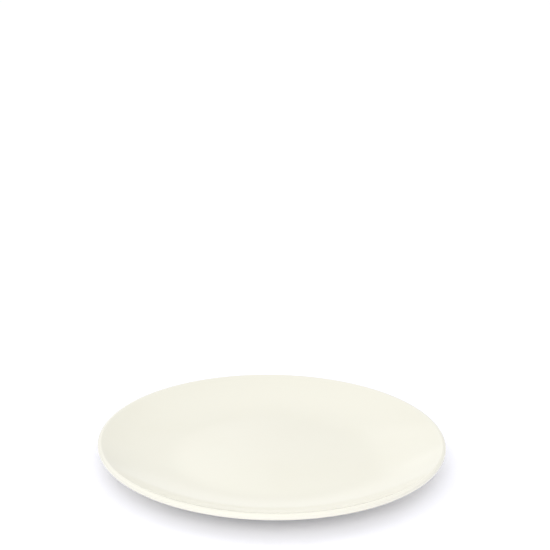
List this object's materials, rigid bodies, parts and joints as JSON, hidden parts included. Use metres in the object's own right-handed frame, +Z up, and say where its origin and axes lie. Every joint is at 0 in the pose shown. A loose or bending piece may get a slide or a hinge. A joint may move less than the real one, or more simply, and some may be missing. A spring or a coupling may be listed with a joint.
{
  "type": "pizza plate",
  "caption": "Round coupe pizza plate with a wide flat well, a wall that sweeps up to a full round lip, and a turned foot ring, in ivory gloss glaze.",
  "frame": {"origin": "centre of the plate, on the table that the foot ring stands on", "axes": "+Z up along the plate's axis; X and Y lie in the table and are alike, because the plate is round"},
  "size_m": [0.32, 0.32, 0.025],
  "materials": {
    "bare_clay": "unglazed, ground foot band",
    "ivory_glaze": "clear gloss over ivory"
  },
  "bodies": {
    "root": {"clay_body": "bare_clay", "face_glaze": "ivory_glaze", "recess_glaze": "ivory_glaze"}
  },
  "joints": []
}
